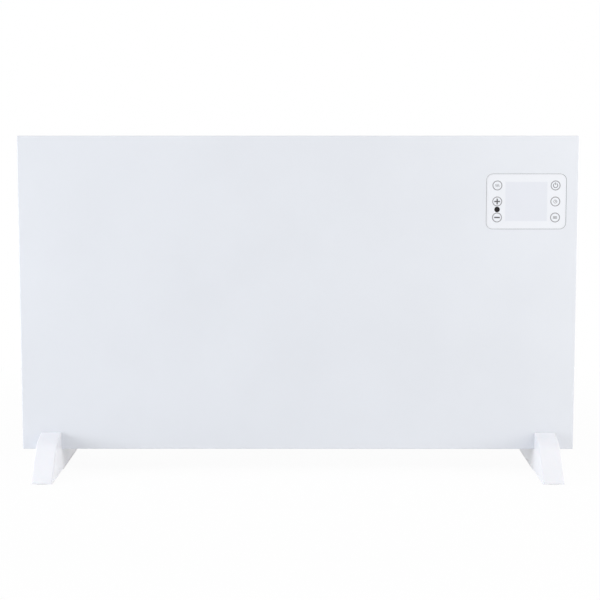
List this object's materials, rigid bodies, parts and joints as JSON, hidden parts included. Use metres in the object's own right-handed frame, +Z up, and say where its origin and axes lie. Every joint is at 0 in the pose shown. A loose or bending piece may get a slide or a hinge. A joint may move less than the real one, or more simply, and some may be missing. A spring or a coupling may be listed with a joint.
{
  "type": "wall panel convector heater",
  "caption": "Flat steel panel convector heater on two moulded feet, with touch controls in a flush fascia, a louvred top outlet and keyholes for wall hanging.",
  "frame": {"origin": "on the floor, in the middle of the four rubber pads", "axes": "+X to the right as seen from the front, +Y to the back, +Z up"},
  "size_m": [0.8, 0.24, 0.4855],
  "materials": {
    "panel_paint": "satin white powder coat",
    "housing_paint": "satin white powder coat, fine texture",
    "grille_plastic": "satin white heat-proof plastic",
    "foot_plastic": "satin white moulded plastic",
    "fascia_plastic": "white moulded plastic",
    "fascia_film": "printed white film, low gloss",
    "black_lens": "black infrared window",
    "rubber": "matt",
    "zinc_steel": "zinc plated",
    "zinc_sheet": "galvanised sheet",
    "bare_aluminium": "mill finish",
    "circuit_board": "solder mask",
    "black_plastic": "matt",
    "blue_plastic": "matt relay case",
    "natural_nylon": "natural nylon",
    "white_ceramic": "unglazed ceramic",
    "laminations": "varnished core",
    "spring_brass": "tinned brass",
    "wire_sleeve": "silicone insulation"
  },
  "bodies": {
    "heater": {"front_panel": "panel_paint", "rear_housing": "housing_paint", "housing_screws": "zinc_steel", "rivets": "bare_aluminium", "outlet_grille": "grille_plastic", "left_foot": "foot_plastic", "right_foot": "foot_plastic", "left_foot_pads": "rubber", "right_foot_pads": "rubber", "foot_screws": "zinc_steel", "foot_plates": "zinc_steel", "fascia_overlay": "fascia_film", "control_fascia": "fascia_plastic", "fascia_gasket": "rubber", "ir_window": "black_lens", "display_module": "black_plastic", "control_tray": "natural_nylon", "control_board": "circuit_board", "touch_springs": "spring_brass", "ir_receiver": "black_plastic", "buzzer": "black_plastic", "control_nuts": "zinc_steel", "partition": "zinc_sheet", "partition_grommets": "rubber", "power_board": "circuit_board", "board_spacers": "natural_nylon", "board_screws": "zinc_steel", "power_relays": "blue_plastic", "transformer": "laminations", "filter_capacitor": "black_plastic", "board_connectors": "natural_nylon", "terminal_block": "natural_nylon", "cable_gland": "black_plastic", "gland_nut": "black_plastic", "rocker_housing": "black_plastic", "rocker_tabs": "spring_brass", "tip_switch_housing": "natural_nylon", "tip_switch_pin": "zinc_steel", "tip_microswitch": "black_plastic", "air_duct": "zinc_sheet", "reflector": "bare_aluminium", "element_brackets": "zinc_sheet", "element_bushes": "white_ceramic", "heating_element": "bare_aluminium", "element_core": "zinc_steel", "element_terminals": "white_ceramic", "thermal_cutout": "zinc_steel", "thermal_fuse": "white_ceramic", "fuse_clip": "white_ceramic", "temperature_sensor": "black_plastic", "wire_clips": "natural_nylon", "element_wires": "wire_sleeve", "supply_wires": "wire_sleeve", "control_ribbon": "wire_sleeve", "sensor_lead": "wire_sleeve"},
    "power_rocker": {"power_rocker": "black_plastic"},
    "tip_pendulum": {"tip_pendulum": "zinc_steel"}
  },
  "joints": [
    {"name": "power_rocker_tilt", "type": "hinge", "parent": "heater", "child": "power_rocker", "pos_m": [0.3882, 0.009, 0.1725], "axis": [0, -1, 0], "range_deg": [0, 20]},
    {"name": "tip_pendulum_swing", "type": "hinge", "parent": "heater", "child": "tip_pendulum", "pos_m": [0.31708, 0.00806, 0.1335], "axis": [1, 0, 0], "range_deg": [-25, 25]}
  ]
}
